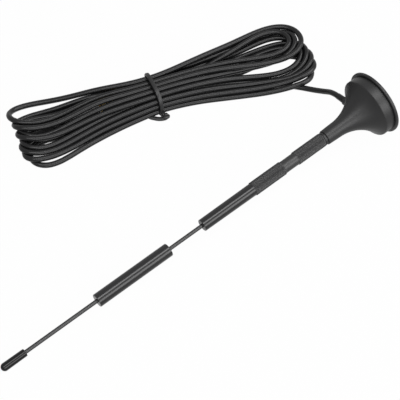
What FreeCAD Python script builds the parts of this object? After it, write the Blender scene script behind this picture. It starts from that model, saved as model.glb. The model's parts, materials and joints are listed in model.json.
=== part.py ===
# Magnetic mount antenna with a collinear whip, lying on its side beside its tied hank of cable.
# Millimetres, +Z up. The whip runs along X with its magnetic foot at +X and its tip at -X.
import FreeCAD, Part
import math
import os
import re

import Sketcher

V = FreeCAD.Vector

# Driving dimensions, by alias
DRIVING = [
    # magnetic foot
    ("pad_radius", 16.5),
    ("pad_thickness", 1.6),
    ("pad_rim_round", 0.7),
    ("skirt_radius", 15.1),
    ("shoulder_height", 6.6),
    ("shoulder_round", 1.4),
    ("neck_foot_radius", 4.0),
    ("neck_foot_height", 26.0),
    ("neck_top_radius", 3.75),
    ("base_height", 32.7),
    ("shell_wall", 1.6),
    ("cup_clearance", 0.2),
    ("cup_wall", 0.9),
    ("magnet_height", 3.6),
    ("magnet_clearance", 0.3),
    ("magnet_bore_radius", 4.0),
    ("chamber_radius", 4.0),
    ("chamber_top", 15.0),
    # cable outlet
    ("cable_radius", 1.4),
    ("cable_height", 9.5),
    ("cable_roll", 14.0),
    ("cable_inset", 3.6),
    ("boss_radius", 2.1),
    ("boss_reach", 11.8),
    ("grommet_wall", 0.25),
    ("grommet_nose_wall", 0.15),
    ("grommet_reach", 16.8),
    ("lead_straight", 4.2),
    ("core_radius", 0.25),
    ("ground_radius", 0.35),
    ("ground_offset", 0.9),
    # threaded seat of the whip
    ("insulator_wall", 0.45),
    ("insulator_flange_radius", 3.7),
    ("insulator_flange", 1.0),
    ("socket_wall", 0.5),
    ("socket_foot", 17.0),
    ("socket_floor", 21.0),
    ("stud_radius", 2.0),
    ("stud_length", 9.0),
    ("running_fit", 0.05),
    ("seal_radius", 3.3),
    ("seal_thickness", 1.5),
    # knurled ferrule
    ("knurl_radius", 3.45),
    ("lower_knurl_length", 16.8),
    ("band_radius", 3.1),
    ("band_length", 7.8),
    ("upper_knurl_length", 18.4),
    ("knurl_chamfer", 0.3),
    ("spigot_length", 6.5),
    # whip
    ("tube_foot_radius", 3.15),
    ("tube_top_radius", 3.0),
    ("tube_length", 30.2),
    ("tube_bore_radius", 2.2),
    ("rod_radius", 0.95),
    ("lower_rod_length", 19.5),
    ("phasing_radius", 3.25),
    ("phasing_length", 41.0),
    ("phasing_bore_radius", 2.4),
    ("phasing_round", 0.35),
    ("upper_rod_length", 39.4),
    ("end_plug_length", 6.0),
    ("cap_foot_radius", 1.85),
    ("cap_radius", 1.95),
    ("cap_length", 12.9),
    ("cap_nose", 3.2),
    ("coil_radius", 1.5),
    ("coil_wire_radius", 0.35),
    ("matching_turns", 5),
    ("phasing_turns", 7),
    # hank of cable
    ("hank_x", 32.8),
    ("hank_y", 76.4),
    ("hank_turn", -15.7),
    ("hank_floor", 0.1),
    ("left_reach", 72.0),
    ("left_near", 14.6),
    ("left_far", 21.6),
    ("left_fan_start", 32.0),
    ("left_fan_end", 62.0),
    ("waist_near", 8.6),
    ("waist_far", 10.8),
    ("right_reach", 85.0),
    ("right_near", 19.4),
    ("right_far", 17.4),
    ("right_fan_start", 50.0),
    ("right_fan_end", 75.0),
    ("waist_height", 12.8),
    ("waist_left", 29.0),
    ("waist_right", 14.0),
    ("fan_tip_height", 6.0),
    ("tie_thickness", 0.8),
    ("tie_width", 1.7),
    ("tie_tail_length", 9.0),
    ("tie_tail_radius", 0.8),
    # screw-on plug at the cable's far end
    ("plug_offset", 1.6),
    ("plug_side", 3.4),
    ("plug_clearance", 0.4),
    ("boot_length", 12.0),
    ("boot_taper", 4.5),
    ("boot_wall", 0.4),
    ("boot_nose_wall", 0.35),
    ("crimp_length", 8.0),
    ("crimp_wall", 0.5),
    ("tail_radius", 2.0),
    ("tail_length", 5.5),
    ("core_bore_radius", 0.9),
    ("plug_flange_radius", 3.2),
    ("plug_flange", 2.0),
    ("collar_radius", 2.45),
    ("collar_length", 3.0),
    ("sleeve_radius", 2.3),
    ("sleeve_length", 4.5),
    ("dielectric_radius", 2.05),
    ("dielectric_recess", 0.4),
    ("pin_radius", 0.635),
    ("pin_point", 0.7),
    ("pin_reach", 1.6),
    ("pin_tail", 2.0),
    ("nut_across_flats", 8.0),
    ("nut_length", 9.6),
    ("nut_gap", 0.4),
    ("nut_lip", 2.4),
    ("nut_bore_radius", 3.15),
    ("ring_width", 0.7),
    ("ring_depth", 0.4),
    ("ring_setback", 1.0),
    ("ring_angle", 325.0),
]

# Dimensions that follow from the driving ones
DERIVED = [
    ("flare_radius", "((skirt_radius - neck_foot_radius)^2 + (neck_foot_height - shoulder_height)^2)"
                     " / (2 * (skirt_radius - neck_foot_radius))"),
    ("cavity_radius", "skirt_radius - shell_wall"),
    ("cup_radius", "cavity_radius - cup_clearance"),
    ("magnet_top", "pad_thickness + magnet_height"),
    ("cup_top", "magnet_top + cup_wall"),
    ("magnet_radius", "cup_radius - cup_wall - magnet_clearance"),
    ("grommet_radius", "cable_radius + grommet_wall"),
    ("socket_bore_radius", "stud_radius + running_fit"),
    ("socket_radius", "socket_bore_radius + socket_wall"),
    ("insulator_radius", "socket_radius + insulator_wall"),
    ("insulator_foot", "chamber_top - insulator_flange"),
    ("ground_drop", "cable_inset / 2"),
    ("stud_foot", "base_height + seal_thickness - stud_length"),
    ("ferrule_foot", "base_height + seal_thickness"),
    ("seal_top", "ferrule_foot - running_fit"),
    ("band_foot", "ferrule_foot + lower_knurl_length"),
    ("upper_knurl_foot", "band_foot + band_length"),
    ("tube_foot", "upper_knurl_foot + upper_knurl_length"),
    ("spigot_top", "tube_foot + spigot_length"),
    ("tube_top", "tube_foot + tube_length"),
    ("tube_plug_foot", "tube_top - end_plug_length"),
    ("phasing_foot", "tube_top + lower_rod_length"),
    ("lower_plug_top", "phasing_foot + end_plug_length"),
    ("phasing_top", "phasing_foot + phasing_length"),
    ("upper_plug_foot", "phasing_top - end_plug_length"),
    ("cap_foot", "phasing_top + upper_rod_length"),
    ("whip_top", "cap_foot + cap_length"),
    ("rod_top", "whip_top - cap_nose"),
    ("nose_foot", "whip_top - cap_radius"),
    ("left_fan_half", "(left_near + left_far) / 2"),
    ("right_fan_half", "(right_near + right_far) / 2"),
    ("left_bow", "(left_fan_half^2 + (left_reach - left_fan_end)^2) / (2 * (left_reach - left_fan_end))"),
    ("right_bow", "(right_fan_half^2 + (right_reach - right_fan_end)^2)"
                  " / (2 * (right_reach - right_fan_end))"),
    ("hank_cut_height", "4 * waist_height"),
    ("hank_cut_width", "4 * right_fan_half"),
    ("crimp_radius", "tail_radius + crimp_wall"),
    ("boot_radius", "crimp_radius + boot_wall"),
    ("boot_nose_radius", "cable_radius + boot_nose_wall"),
    ("crimp_top", "boot_taper + crimp_length"),
    ("tail_foot", "crimp_top - tail_length"),
    ("collar_foot", "crimp_top + plug_flange"),
    ("collar_top", "collar_foot + collar_length"),
    ("sleeve_top", "collar_top + sleeve_length"),
    ("nut_foot", "collar_foot + nut_gap"),
    ("nut_lip_top", "nut_foot + nut_lip"),
    ("nut_top", "nut_foot + nut_length"),
    ("nut_collar_radius", "collar_radius + running_fit"),
    ("nut_corner_radius", "nut_across_flats / sqrt(3)"),
    ("ring_foot", "nut_foot + ring_setback"),
    ("ring_top", "ring_foot + ring_width"),
    ("groove_foot", "ring_foot - running_fit"),
    ("groove_top", "ring_top + running_fit"),
    ("ring_inner_radius", "collar_radius - ring_depth + running_fit"),
    ("ring_outer_radius", "nut_collar_radius + ring_depth - running_fit"),
    ("plug_axis_height", "nut_corner_radius + hank_floor"),
    ("pocket_half", "nut_corner_radius + plug_clearance"),
    ("pocket_length", "nut_top + plug_clearance"),
]

# Route of the cable after its straight start, down to the floor and into the hank, chosen by hand
LEAD_ROUTE = [
    V(99.9, 25.2, 6.9),
    V(98.6, 31.6, 2.9),
    V(95.4, 37.6, 1.6),
    V(91.1, 42.6, 1.5),
    V(86.0, 47.0, 1.5),
]

# Each run of a tube's path gives this share of its length to the arc at either end
ARC_SHARE = 0.45

# Sections for each turn of a wound wire, and sides of one section
COIL_STATIONS = 12
WIRE_SIDES = 6

# A rim counts as found within this distance
RIM_TOLERANCE = 1e-4

doc = FreeCAD.newDocument("MagneticMountAntenna")
sheet = doc.addObject("Spreadsheet::Sheet", "Sizes")
parts = []


def fill_sheet():
    cells = [(alias, str(number)) for alias, number in DRIVING]
    cells += [(alias, "=" + formula) for alias, formula in DERIVED]
    for row, (alias, text) in enumerate(cells, 1):
        sheet.set("A%d" % row, alias)
        sheet.set("B%d" % row, text)
        sheet.setAlias("B%d" % row, alias)
    doc.recompute()


def size(alias):
    return float(sheet.get(alias))


def bound(text):
    # "tube_top - end_plug_length" as an expression on the sheet
    return re.sub(r"\b([a-z]\w*)", r"Sizes.\1", text)


def value(text):
    return float(sheet.evalExpression(bound(text)))


def keep(piece, label, placement):
    piece.Label = label
    piece.Placement = placement
    parts.append(piece)
    return piece


def origin_plane(body, role):
    return next(feature for feature in body.Origin.OriginFeatures if feature.Role == role)


def arc_between(start, end, radius, left):
    # The shorter arc from start to end, with its centre to the left or right of the way
    chord = end - start
    half = chord.Length / 2
    normal = V(-chord.y, chord.x, 0).normalize()
    offset = math.sqrt(max(radius * radius - half * half, 0))
    centre = start + chord * 0.5 + normal * (offset if left else -offset)
    first, last = (start, end) if left else (end, start)
    angles = [math.atan2(point.y - centre.y, point.x - centre.x) for point in (first, last)]
    return Part.ArcOfCircle(Part.Circle(centre, V(0, 0, 1), radius), angles[0], angles[1])


def pin_point(sketch, edge, end, axis, text):
    # Holds one coordinate of a corner to an expression
    if text == "0":
        sketch.addConstraint(Sketcher.Constraint("PointOnObject", edge, end, -2 if axis == "X" else -1))
        return
    held = sketch.addConstraint(Sketcher.Constraint("Distance" + axis, -1, 1, edge, end, value(text)))
    sketch.setExpression("Constraints[%d]" % held, bound(text))


def outline(body, role, corners):
    # Closed sketch through corners (x, y), or (x, y, (radius, "left" or "right")) where an arc starts
    sketch = body.newObject("Sketcher::SketchObject", "Outline")
    sketch.AttachmentSupport = (origin_plane(body, role), [""])
    sketch.MapMode = "FlatFace"
    points = [V(value(corner[0]), value(corner[1]), 0) for corner in corners]
    ends = []
    for index, corner in enumerate(corners):
        start = points[index]
        end = points[(index + 1) % len(points)]
        if len(corner) == 2:
            sketch.addGeometry(Part.LineSegment(start, end))
            ends.append((1, 2))
            continue
        radius, side = corner[2]
        sketch.addGeometry(arc_between(start, end, value(radius), side == "left"))
        ends.append((1, 2) if side == "left" else (2, 1))
    for index, corner in enumerate(corners):
        following = (index + 1) % len(corners)
        joined = Sketcher.Constraint("Coincident", index, ends[index][1], following, ends[following][0])
        sketch.addConstraint(joined)
        pin_point(sketch, index, ends[index][0], "X", corner[0])
        pin_point(sketch, index, ends[index][0], "Y", corner[1])
        if len(corner) == 3:
            radius = corner[2][0]
            held = sketch.addConstraint(Sketcher.Constraint("Radius", index, value(radius)))
            sketch.setExpression("Constraints[%d]" % held, bound(radius))
    return sketch


def revolve(body, corners, kind="PartDesign::Revolution", angle=None):
    sketch = outline(body, "XZ_Plane", corners)
    feature = body.newObject(kind, "Turned")
    feature.Profile = sketch
    feature.ReferenceAxis = (sketch, ["V_Axis"])
    feature.Angle = 360
    if angle:
        feature.setExpression("Angle", bound(angle))
    return feature


def round_rims(body, feature, rims, radius):
    # Fillets the circular edges at the given radii and heights about the Z axis
    doc.recompute()
    wanted = [(value(rim), value(height)) for rim, height in rims]
    names = []
    for number, edge in enumerate(feature.Shape.Edges, 1):
        if not isinstance(edge.Curve, Part.Circle):
            continue
        centre = edge.Curve.Center
        for rim, height in wanted:
            off_rim = max(abs(edge.Curve.Radius - rim), abs(centre.z - height))
            off_axis = math.hypot(centre.x, centre.y)
            if max(off_rim, off_axis) < RIM_TOLERANCE:
                names.append("Edge%d" % number)
    if len(names) < len(wanted):
        raise RuntimeError("a rim to round was not found on " + body.Label)
    fillet = body.newObject("PartDesign::Fillet", "Round")
    fillet.Base = (feature, names)
    fillet.setExpression("Radius", bound(radius))
    return fillet


def turned(label, placement, corners, rims=(), radius=None):
    body = doc.addObject("PartDesign::Body", "Body")
    feature = revolve(body, corners)
    if rims:
        round_rims(body, feature, rims, radius)
    return keep(body, label, placement)


def tube_along(label, route, radius, placement):
    # Round tube along straight runs joined by the largest tangent arcs that fit them
    edges = []
    radii = []
    start = route[0]
    for before, corner, after in zip(route, route[1:], route[2:]):
        back = (before - corner).normalize()
        ahead = (after - corner).normalize()
        turn = math.pi - back.getAngle(ahead)
        tangent = ARC_SHARE * min((before - corner).Length, (after - corner).Length)
        bend = tangent / math.tan(turn / 2)
        middle = corner + (back + ahead).normalize() * (bend / math.cos(turn / 2) - bend)
        edges.append(Part.LineSegment(start, corner + back * tangent).toShape())
        edges.append(Part.Arc(corner + back * tangent, middle, corner + ahead * tangent).toShape())
        start = corner + ahead * tangent
        radii.append(round(bend, 2))
    edges.append(Part.LineSegment(start, route[-1]).toShape())
    path = Part.Wire(edges)
    section = Part.Wire([Part.Circle(route[0], route[1] - route[0], radius).toShape()])
    tube = doc.addObject("Part::Feature", "Tube")
    tube.Shape = path.makePipeShell([section], True, True)
    expected = math.pi * radius * radius * path.Length
    print(label, "bend radii", radii, "length", round(path.Length, 2),
          "volume share", round(tube.Shape.Volume / expected, 4))
    return keep(tube, label, placement)


def resting():
    # Place of the antenna's foot: rim and tip nose both touch the floor, the box is centred in X
    rim_round = size("pad_rim_round")
    nose = size("cap_radius")
    rise = size("pad_radius") - rim_round
    tip = size("nose_foot")
    run = tip - size("pad_thickness") + rim_round
    lean = math.acos((nose - rim_round) / math.hypot(rise, run)) - math.atan2(run, rise)
    foot_x = (tip * math.cos(lean) + nose - rise * math.sin(lean)
              - rim_round * (1 - math.cos(lean))) / 2
    foot_z = tip * math.sin(lean) + nose
    turn = FreeCAD.Rotation(V(0, 1, 0), -90 - math.degrees(lean))
    return FreeCAD.Placement(V(foot_x, 0, foot_z), turn)


fill_sheet()
WHIP = resting()
FOOT = WHIP.multiply(FreeCAD.Placement(V(0, 0, 0), FreeCAD.Rotation(V(0, 0, 1), size("cable_roll"))))
OUTLET = FOOT.multiply(FreeCAD.Placement(V(0, 0, size("cable_height")), FreeCAD.Rotation(V(1, 0, 0), -90)))
HANK = FreeCAD.Placement(V(size("hank_x"), size("hank_y"), 0),
                         FreeCAD.Rotation(V(0, 0, 1), size("hank_turn")))
PLUG = HANK.multiply(FreeCAD.Placement(V(-size("plug_offset"), size("plug_side"), size("plug_axis_height")),
                                       FreeCAD.Rotation(V(0, 1, 0), -90)))


def outlet_circle(body, radius):
    # Circle about the cable outlet's axis
    sketch = body.newObject("Sketcher::SketchObject", "OutletCircle")
    sketch.AttachmentSupport = (origin_plane(body, "XZ_Plane"), [""])
    sketch.MapMode = "FlatFace"
    sketch.addGeometry(Part.Circle(V(0, size("cable_height"), 0), V(0, 0, 1), size(radius)))
    pin_point(sketch, 0, 3, "X", "0")
    pin_point(sketch, 0, 3, "Y", "cable_height")
    held = sketch.addConstraint(Sketcher.Constraint("Radius", 0, size(radius)))
    sketch.setExpression("Constraints[%d]" % held, bound(radius))
    return sketch


def base_shell():
    # Moulded bell: skirt, concave flare, tapered neck and the boss of the cable outlet
    body = doc.addObject("PartDesign::Body", "Body")
    bell = revolve(body, [
        ("0", "pad_thickness"),
        ("skirt_radius", "pad_thickness"),
        ("skirt_radius", "shoulder_height", ("flare_radius", "right")),
        ("neck_foot_radius", "neck_foot_height"),
        ("neck_top_radius", "base_height"),
        ("0", "base_height"),
    ])
    round_rims(body, bell, [("skirt_radius", "shoulder_height")], "shoulder_round")
    boss = body.newObject("PartDesign::Pad", "Boss")
    boss.Profile = outlet_circle(body, "boss_radius")
    boss.Reversed = True
    boss.setExpression("Length", bound("boss_reach"))
    revolve(body, [
        ("0", "pad_thickness"),
        ("cavity_radius", "pad_thickness"),
        ("cavity_radius", "cup_top"),
        ("chamber_radius", "cup_top"),
        ("chamber_radius", "chamber_top"),
        ("insulator_radius", "chamber_top"),
        ("insulator_radius", "base_height"),
        ("0", "base_height"),
    ], kind="PartDesign::Groove")
    doc.recompute()
    closed_volume = body.Shape.Volume
    hole = body.newObject("PartDesign::Pocket", "Outlet")
    hole.Profile = outlet_circle(body, "grommet_radius")
    hole.setExpression("Length", bound("grommet_reach"))
    doc.recompute()
    if body.Shape.Volume >= closed_volume:
        raise RuntimeError("the cable outlet cuts nothing")
    keep(body, "base_shell", FOOT)


def foot_pieces():
    turned("base_pad", FOOT, [
        ("0", "0"),
        ("pad_radius", "0"),
        ("pad_radius", "pad_thickness"),
        ("0", "pad_thickness"),
    ], [("pad_radius", "0"), ("pad_radius", "pad_thickness")], "pad_rim_round")
    turned("magnet_cup", FOOT, [
        ("0", "magnet_top"),
        ("cup_radius - cup_wall", "magnet_top"),
        ("cup_radius - cup_wall", "pad_thickness"),
        ("cup_radius", "pad_thickness"),
        ("cup_radius", "cup_top"),
        ("0", "cup_top"),
    ])
    turned("ring_magnet", FOOT, [
        ("magnet_bore_radius", "pad_thickness"),
        ("magnet_radius", "pad_thickness"),
        ("magnet_radius", "magnet_top"),
        ("magnet_bore_radius", "magnet_top"),
    ])
    turned("socket_insulator", FOOT, [
        ("socket_radius", "insulator_foot"),
        ("insulator_flange_radius", "insulator_foot"),
        ("insulator_flange_radius", "chamber_top"),
        ("insulator_radius", "chamber_top"),
        ("insulator_radius", "base_height"),
        ("socket_radius", "base_height"),
    ])
    turned("whip_socket", FOOT, [
        ("0", "socket_foot"),
        ("socket_radius", "socket_foot"),
        ("socket_radius", "base_height"),
        ("socket_bore_radius", "base_height"),
        ("socket_bore_radius", "socket_floor"),
        ("0", "socket_floor"),
    ])


def outlet_pieces():
    # Relief sleeve and stripped cable end, turned about the outlet's own axis
    turned("cable_grommet", OUTLET, [
        ("cable_radius", "chamber_radius"),
        ("grommet_radius", "chamber_radius"),
        ("grommet_radius", "boss_reach"),
        ("cable_radius + grommet_nose_wall", "grommet_reach"),
        ("cable_radius", "grommet_reach"),
    ])
    turned("cable_tail", OUTLET, [
        ("0", "cable_inset"),
        ("cable_radius", "cable_inset"),
        ("cable_radius", "grommet_reach"),
        ("0", "grommet_reach"),
    ])
    inset = size("cable_inset")
    height = size("cable_height")
    side = -size("ground_offset")
    core_route = [V(0, inset, height), V(0, 0, height), V(0, 0, size("socket_foot"))]
    tube_along("core_lead", core_route, size("core_radius"), FOOT)
    drop = size("ground_drop")
    ground_route = [V(side, inset, height), V(side, drop, height), V(side, drop, size("cup_top"))]
    tube_along("ground_tail", ground_route, size("ground_radius"), FOOT)


def whip_pieces():
    turned("seal_ring", WHIP, [
        ("socket_bore_radius", "base_height"),
        ("seal_radius", "base_height"),
        ("seal_radius", "seal_top"),
        ("socket_bore_radius", "seal_top"),
    ])
    turned("whip_ferrule", WHIP, [
        ("0", "stud_foot"),
        ("stud_radius", "stud_foot"),
        ("stud_radius", "ferrule_foot"),
        ("knurl_radius - knurl_chamfer", "ferrule_foot"),
        ("knurl_radius", "ferrule_foot + knurl_chamfer"),
        ("knurl_radius", "band_foot - knurl_chamfer"),
        ("band_radius", "band_foot"),
        ("band_radius", "upper_knurl_foot"),
        ("knurl_radius", "upper_knurl_foot + knurl_chamfer"),
        ("knurl_radius", "tube_foot - knurl_chamfer"),
        ("knurl_radius - knurl_chamfer", "tube_foot"),
        ("tube_bore_radius", "tube_foot"),
        ("tube_bore_radius", "spigot_top"),
        ("0", "spigot_top"),
    ])
    turned("lower_tube", WHIP, [
        ("tube_bore_radius", "tube_foot"),
        ("tube_foot_radius", "tube_foot"),
        ("tube_top_radius", "tube_top"),
        ("tube_bore_radius", "tube_top"),
    ])
    end_plug("tube_plug", "tube_bore_radius", "tube_plug_foot", "tube_top")
    rod("lower_rod", "tube_plug_foot", "lower_plug_top")
    turned("phasing_tube", WHIP, [
        ("phasing_bore_radius", "phasing_foot"),
        ("phasing_radius", "phasing_foot"),
        ("phasing_radius", "phasing_top"),
        ("phasing_bore_radius", "phasing_top"),
    ], [("phasing_radius", "phasing_foot"), ("phasing_radius", "phasing_top")], "phasing_round")
    end_plug("phasing_lower_plug", "phasing_bore_radius", "phasing_foot", "lower_plug_top")
    end_plug("phasing_upper_plug", "phasing_bore_radius", "upper_plug_foot", "phasing_top")
    rod("upper_rod", "upper_plug_foot", "rod_top")
    turned("tip_cap", WHIP, [
        ("rod_radius", "cap_foot"),
        ("cap_foot_radius", "cap_foot"),
        ("cap_radius", "nose_foot", ("cap_radius", "left")),
        ("0", "whip_top"),
        ("0", "rod_top"),
        ("rod_radius", "rod_top"),
    ])


def end_plug(label, radius, foot, top):
    turned(label, WHIP, [
        ("rod_radius", foot),
        (radius, foot),
        (radius, top),
        ("rod_radius", top),
    ])


def rod(label, foot, top):
    turned(label, WHIP, [
        ("0", foot),
        ("rod_radius", foot),
        ("rod_radius", top),
        ("0", top),
    ])


def coil(label, turns, foot, top):
    # Wire of hexagonal section wound along a helix, lofted from station to station
    wire = size("coil_wire_radius")
    rise = value(top) - value(foot) - 2 * wire
    count = int(size(turns)) * COIL_STATIONS
    sections = []
    for station in range(count + 1):
        angle = 2 * math.pi * station / COIL_STATIONS
        outward = V(math.cos(angle), math.sin(angle), 0)
        height = value(foot) + wire + rise * station / count
        centre = outward * size("coil_radius") + V(0, 0, height)
        corners = []
        for side in range(WIRE_SIDES):
            around = 2 * math.pi * side / WIRE_SIDES
            corners.append(centre + outward * wire * math.cos(around) + V(0, 0, wire * math.sin(around)))
        sections.append(Part.makePolygon(corners + corners[:1]))
    wound = doc.addObject("Part::Feature", "Coil")
    wound.Shape = Part.makeLoft(sections, True, True)
    keep(wound, label, WHIP)


def cable_lead():
    nose = OUTLET.multVec(V(0, 0, size("grommet_reach")))
    bend = OUTLET.multVec(V(0, 0, value("grommet_reach + lead_straight")))
    tube_along("cable_lead", [nose, bend] + LEAD_ROUTE, size("cable_radius"), FreeCAD.Placement())


def padded_outline(role, corners, length):
    body = doc.addObject("PartDesign::Body", "Body")
    pad = body.newObject("PartDesign::Pad", "Pad")
    pad.Profile = outline(body, role, corners)
    pad.SideType = "Symmetric"
    pad.setExpression("Length", bound(length))
    return body


def cable_hank():
    # Plan and side outlines meet in one solid; a pocket underneath takes the plug
    plan = padded_outline("XY_Plane", [
        ("-left_fan_end", "-left_near"),
        ("-left_fan_start", "-left_near"),
        ("-tie_width", "-waist_near"),
        ("tie_width", "-waist_near"),
        ("right_fan_start", "-right_near"),
        ("right_fan_end", "-right_near", ("right_bow", "left")),
        ("right_fan_end", "right_far"),
        ("right_fan_start", "right_far"),
        ("tie_width", "waist_far"),
        ("-tie_width", "waist_far"),
        ("-left_fan_start", "left_far"),
        ("-left_fan_end", "left_far", ("left_bow", "left")),
    ], "hank_cut_height")
    side = padded_outline("XZ_Plane", [
        ("-left_reach", "hank_floor"),
        ("-tie_width", "hank_floor"),
        ("-tie_width", "hank_floor + tie_thickness"),
        ("tie_width", "hank_floor + tie_thickness"),
        ("tie_width", "hank_floor"),
        ("right_reach", "hank_floor"),
        ("right_reach", "fan_tip_height"),
        ("waist_right", "waist_height"),
        ("-waist_left", "waist_height"),
        ("-left_reach", "fan_tip_height"),
    ], "hank_cut_width")
    bundle = doc.addObject("Part::Common", "Bundle")
    bundle.Base = plan
    bundle.Tool = side
    pocket = doc.addObject("Part::Box", "Pocket")
    pocket.setExpression("Length", bound("pocket_length"))
    pocket.setExpression("Width", bound("2 * pocket_half"))
    pocket.setExpression("Height", bound("plug_axis_height"))
    pocket.Placement = FreeCAD.Placement(
        V(-size("plug_offset") - size("pocket_length"), size("plug_side") - size("pocket_half"), 0),
        FreeCAD.Rotation())
    arch = doc.addObject("Part::Cylinder", "Arch")
    arch.setExpression("Radius", bound("pocket_half"))
    arch.setExpression("Height", bound("pocket_length"))
    arch.Placement = FreeCAD.Placement(
        V(-size("plug_offset"), size("plug_side"), size("plug_axis_height")),
        FreeCAD.Rotation(V(0, 1, 0), -90))
    room = doc.addObject("Part::Fuse", "Room")
    room.Base = pocket
    room.Tool = arch
    hollow = doc.addObject("Part::Cut", "Hollow")
    hollow.Base = bundle
    hollow.Tool = room
    end = doc.addObject("Part::Cylinder", "CableEnd")
    end.setExpression("Radius", bound("cable_radius"))
    end.setExpression("Height", bound("boot_taper + plug_offset"))
    end.Placement = FreeCAD.Placement(
        V(0, size("plug_side"), size("plug_axis_height")),
        FreeCAD.Rotation(V(0, 1, 0), -90))
    hank = doc.addObject("Part::Fuse", "Hank")
    hank.Base = hollow
    hank.Tool = end
    keep(hank, "cable_hank", HANK)


def hank_tie():
    # Flat band round the waist of the hank with its twisted tail
    inner = [
        ("-waist_near", "hank_floor + tie_thickness"),
        ("waist_far", "hank_floor + tie_thickness"),
        ("waist_far", "waist_height"),
        ("-waist_near", "waist_height"),
    ]
    outer = [
        ("-waist_near - tie_thickness", "hank_floor"),
        ("waist_far + tie_thickness", "hank_floor"),
        ("waist_far + tie_thickness", "waist_height + tie_thickness"),
        ("-waist_near - tie_thickness", "waist_height + tie_thickness"),
    ]
    band = doc.addObject("Part::Cut", "Band")
    band.Base = padded_outline("YZ_Plane", outer, "tie_width")
    band.Tool = padded_outline("YZ_Plane", inner, "2 * tie_width")
    tail = doc.addObject("Part::Cylinder", "Tail")
    tail.setExpression("Radius", bound("tie_tail_radius"))
    tail.setExpression("Height", bound("tie_tail_length"))
    tail.Placement = FreeCAD.Placement(
        V(0, -size("waist_near") - size("tie_thickness") - size("tie_tail_radius") / 2,
          size("hank_floor") + size("tie_tail_radius")),
        FreeCAD.Rotation(V(0, 1, 0), -90))
    tie = doc.addObject("Part::Fuse", "Tie")
    tie.Base = band
    tie.Tool = tail
    keep(tie, "hank_tie", HANK)


def plug_pieces():
    turned("plug_boot", PLUG, [
        ("cable_radius", "0"),
        ("boot_nose_radius", "0"),
        ("boot_radius", "boot_taper"),
        ("boot_radius", "boot_length"),
        ("crimp_radius", "boot_length"),
        ("crimp_radius", "boot_taper"),
        ("cable_radius", "boot_taper"),
    ])
    turned("crimp_sleeve", PLUG, [
        ("tail_radius", "boot_taper"),
        ("crimp_radius", "boot_taper"),
        ("crimp_radius", "crimp_top"),
        ("tail_radius", "crimp_top"),
    ])
    turned("plug_body", PLUG, [
        ("core_bore_radius", "tail_foot"),
        ("tail_radius", "tail_foot"),
        ("tail_radius", "crimp_top"),
        ("plug_flange_radius", "crimp_top"),
        ("plug_flange_radius", "collar_foot"),
        ("collar_radius", "collar_foot"),
        ("collar_radius", "groove_foot"),
        ("collar_radius - ring_depth", "groove_foot"),
        ("collar_radius - ring_depth", "groove_top"),
        ("collar_radius", "groove_top"),
        ("collar_radius", "collar_top"),
        ("sleeve_radius", "collar_top"),
        ("sleeve_radius", "sleeve_top"),
        ("dielectric_radius", "sleeve_top"),
        ("dielectric_radius", "collar_top"),
        ("core_bore_radius", "collar_top"),
    ])
    turned("plug_dielectric", PLUG, [
        ("pin_radius", "collar_top"),
        ("dielectric_radius", "collar_top"),
        ("dielectric_radius", "sleeve_top - dielectric_recess"),
        ("pin_radius", "sleeve_top - dielectric_recess"),
    ])
    turned("plug_pin", PLUG, [
        ("0", "collar_top - pin_tail"),
        ("pin_radius", "collar_top - pin_tail"),
        ("pin_radius", "sleeve_top + pin_reach - pin_point"),
        ("0", "sleeve_top + pin_reach"),
    ])
    ring = doc.addObject("PartDesign::Body", "Body")
    revolve(ring, [
        ("ring_inner_radius", "ring_foot"),
        ("ring_outer_radius", "ring_foot"),
        ("ring_outer_radius", "ring_top"),
        ("ring_inner_radius", "ring_top"),
    ], angle="ring_angle")
    keep(ring, "snap_ring", PLUG)
    hexagon = doc.addObject("Part::Prism", "Hexagon")
    hexagon.Polygon = 6
    hexagon.setExpression("Circumradius", bound("nut_corner_radius"))
    hexagon.setExpression("Height", bound("nut_length"))
    hexagon.Placement = FreeCAD.Placement(V(0, 0, size("nut_foot")), FreeCAD.Rotation())
    bore = doc.addObject("PartDesign::Body", "Body")
    revolve(bore, [
        ("0", "nut_foot - nut_gap"),
        ("nut_collar_radius", "nut_foot - nut_gap"),
        ("nut_collar_radius", "groove_foot"),
        ("nut_collar_radius + ring_depth", "groove_foot"),
        ("nut_collar_radius + ring_depth", "groove_top"),
        ("nut_collar_radius", "groove_top"),
        ("nut_collar_radius", "nut_lip_top"),
        ("nut_bore_radius", "nut_lip_top"),
        ("nut_bore_radius", "nut_top + nut_gap"),
        ("0", "nut_top + nut_gap"),
    ])
    nut = doc.addObject("Part::Cut", "Nut")
    nut.Base = hexagon
    nut.Tool = bore
    keep(nut, "coupling_nut", PLUG)


def write_parts():
    doc.recompute()
    for thing in doc.Objects:
        if "Invalid" in thing.State or "Error" in thing.State:
            raise RuntimeError("%s failed: %s" % (thing.Label, thing.State))
    os.makedirs("parts", exist_ok=True)
    for piece in parts:
        if piece.Shape.isNull() or not piece.Shape.isValid() or len(piece.Shape.Solids) != 1:
            raise RuntimeError("%s is not one sound solid" % piece.Label)
    for piece in parts:
        piece.Shape.exportStep("parts/%s.step" % piece.Label)


base_shell()
foot_pieces()
outlet_pieces()
whip_pieces()
coil("matching_coil", "matching_turns", "spigot_top", "tube_plug_foot")
coil("phasing_coil", "phasing_turns", "lower_plug_top", "upper_plug_foot")
cable_lead()
cable_hank()
hank_tie()
plug_pieces()
write_parts()
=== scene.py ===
"""Looks of a magnetic mount antenna: bell foot, knurled ferrule, collinear whip and a tied coaxial lead."""

import json
import math

import bmesh
import bpy
import numpy as np
from bpy.props import FloatProperty, FloatVectorProperty, IntProperty, PointerProperty
from mathutils import Matrix, Vector


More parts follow.
